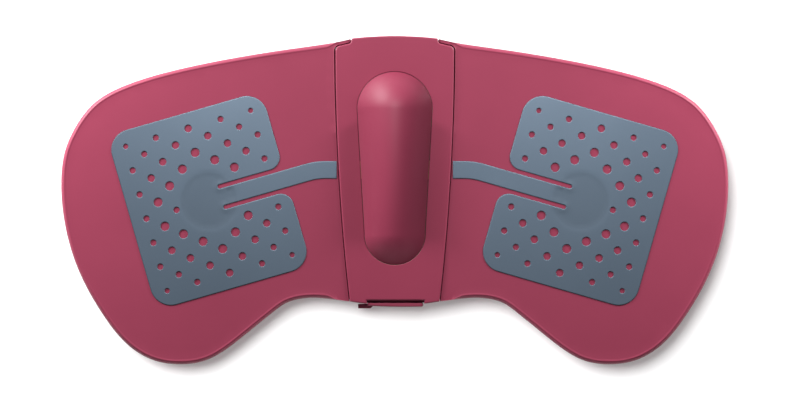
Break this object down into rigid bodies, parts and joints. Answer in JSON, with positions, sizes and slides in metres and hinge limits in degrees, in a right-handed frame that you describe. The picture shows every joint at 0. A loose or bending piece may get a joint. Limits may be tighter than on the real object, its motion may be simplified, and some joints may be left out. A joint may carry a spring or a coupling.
{
  "type": "tens unit",
  "caption": "Wearable two-lobed nerve stimulation pad: a slim domed module between soft silicone wings with perforated electrodes.",
  "frame": {"origin": "centre of the bottom of the bounding box, on the plane that the control side rests on", "axes": "+Z out of the skin (electrode) side, +X towards the right wing as seen from the skin side, +Y towards the upper edge when worn"},
  "size_m": [0.2004, 0.0986, 0.0171],
  "materials": {
    "case": "soft-touch, satin",
    "wing_silicone": "fine matte silicone",
    "electrode_film": "matte carbon-filled silicone",
    "overlay_film": "fine matt film",
    "button_rubber": "smooth matte",
    "core_sheet": "woven sheet",
    "seal_rubber": "matte",
    "board_laminate": "solder mask",
    "chip_package": "moulded epoxy",
    "ferrite": "matte",
    "capacitor_can": "satin",
    "plated_steel": "plated",
    "screw_steel": "plated",
    "contact_metal": "plated",
    "battery_foil": "satin foil",
    "foam": "closed-cell foam",
    "lead_jacket": "smooth",
    "plug_plastic": "moulded",
    "light_window": "frosted clear",
    "led_package": "gloss",
    "flap_rubber": "matte"
  },
  "bodies": {
    "module": {"front_housing": "case", "back_panel": "case", "dome_cover": "case", "housing_seal": "seal_rubber", "keypad_overlay": "overlay_film", "case_screws": "screw_steel", "tact_switches": "plated_steel", "light_guide": "light_window", "status_leds": "led_package", "main_board": "board_laminate", "board_chips": "chip_package", "output_transformer": "ferrite", "output_capacitors": "capacitor_can", "battery_cell": "battery_foil", "battery_foam": "foam", "battery_plug": "plug_plastic", "battery_leads": "lead_jacket", "usb_socket": "plated_steel", "usb_tongue": "chip_package", "lead_contacts": "contact_metal", "left_lead_strip": "electrode_film", "left_wing_root": "wing_silicone", "right_lead_strip": "electrode_film", "right_wing_root": "wing_silicone"},
    "left_wing": {"left_wing_skin": "wing_silicone", "left_wing_backing": "wing_silicone", "left_wing_core": "core_sheet", "left_electrode": "electrode_film", "left_contact_patch": "contact_metal"},
    "right_wing": {"right_wing_skin": "wing_silicone", "right_wing_backing": "wing_silicone", "right_wing_core": "core_sheet", "right_electrode": "electrode_film", "right_contact_patch": "contact_metal"},
    "flap": {"usb_flap": "flap_rubber"},
    "power_key": {"power_button": "button_rubber"},
    "plus_key": {"plus_button": "button_rubber"},
    "minus_key": {"minus_button": "button_rubber"},
    "mode_key": {"mode_button": "button_rubber"}
  },
  "joints": [
    {"name": "left_wing_flex", "type": "hinge", "parent": "module", "child": "left_wing", "pos_m": [-0.01485, -0.0304, 0.0066], "axis": [-0.0584, 0.9983, 0], "range_deg": [-25, 45], "stiffness_Nm_per_rad": 0.2},
    {"name": "right_wing_flex", "type": "hinge", "parent": "module", "child": "right_wing", "pos_m": [0.01485, -0.0304, 0.0066], "axis": [-0.0584, -0.9983, 0], "range_deg": [-25, 45], "stiffness_Nm_per_rad": 0.2},
    {"name": "flap_hinge", "type": "hinge", "parent": "module", "child": "flap", "pos_m": [0.008, -0.0314, 0.0045], "axis": [0, 0, 1], "range_deg": [0, 110], "stiffness_Nm_per_rad": 0.002},
    {"name": "power_press", "type": "slide", "parent": "module", "child": "power_key", "axis": [0, 0, 1], "range_m": [0, 0.0004], "stiffness_N_per_m": 800},
    {"name": "plus_press", "type": "slide", "parent": "module", "child": "plus_key", "axis": [0, 0, 1], "range_m": [0, 0.0004], "stiffness_N_per_m": 800},
    {"name": "minus_press", "type": "slide", "parent": "module", "child": "minus_key", "axis": [0, 0, 1], "range_m": [0, 0.0004], "stiffness_N_per_m": 800},
    {"name": "mode_press", "type": "slide", "parent": "module", "child": "mode_key", "axis": [0, 0, 1], "range_m": [0, 0.0004], "stiffness_N_per_m": 800}
  ]
}
